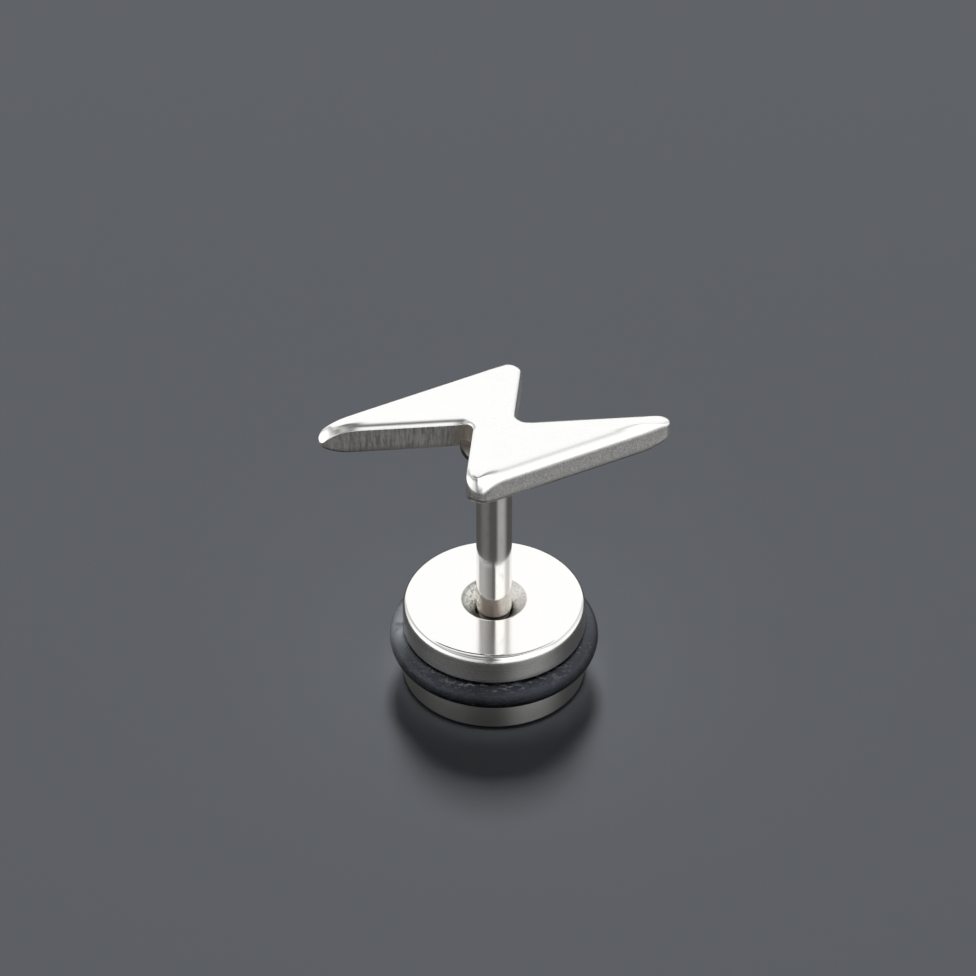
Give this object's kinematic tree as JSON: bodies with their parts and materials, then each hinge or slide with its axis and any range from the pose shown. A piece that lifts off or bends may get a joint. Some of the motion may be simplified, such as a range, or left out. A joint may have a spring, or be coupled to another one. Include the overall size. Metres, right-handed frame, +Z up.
{
  "type": "screw-back stud earring",
  "caption": "Stud earring with a lightning bolt plate on a round post, screwed into a thick round back disc with a rubber ring in its groove.",
  "frame": {"origin": "centre of the back disc's underside, on the surface that it stands on", "axes": "+Z up along the post, from the disc to the bolt; +X along the bolt's long axis, towards the tip beside the rear notch"},
  "size_m": [0.0114, 0.0068, 0.0108],
  "materials": {
    "bolt_steel": "stainless steel, mirror-polished top and post, satin cut sides",
    "disc_steel": "stainless steel, polished top, finely turned rim",
    "ring_rubber": "matt black rubber with a faint sheen"
  },
  "bodies": {
    "back": {"back_disc": "disc_steel", "o_ring": "ring_rubber"},
    "bolt": {"bolt_stud": "bolt_steel"}
  },
  "joints": [
    {"name": "unscrew", "type": "slide", "parent": "back", "child": "bolt", "axis": [0, 0, 1], "range_m": [0, 0.01]}
  ]
}
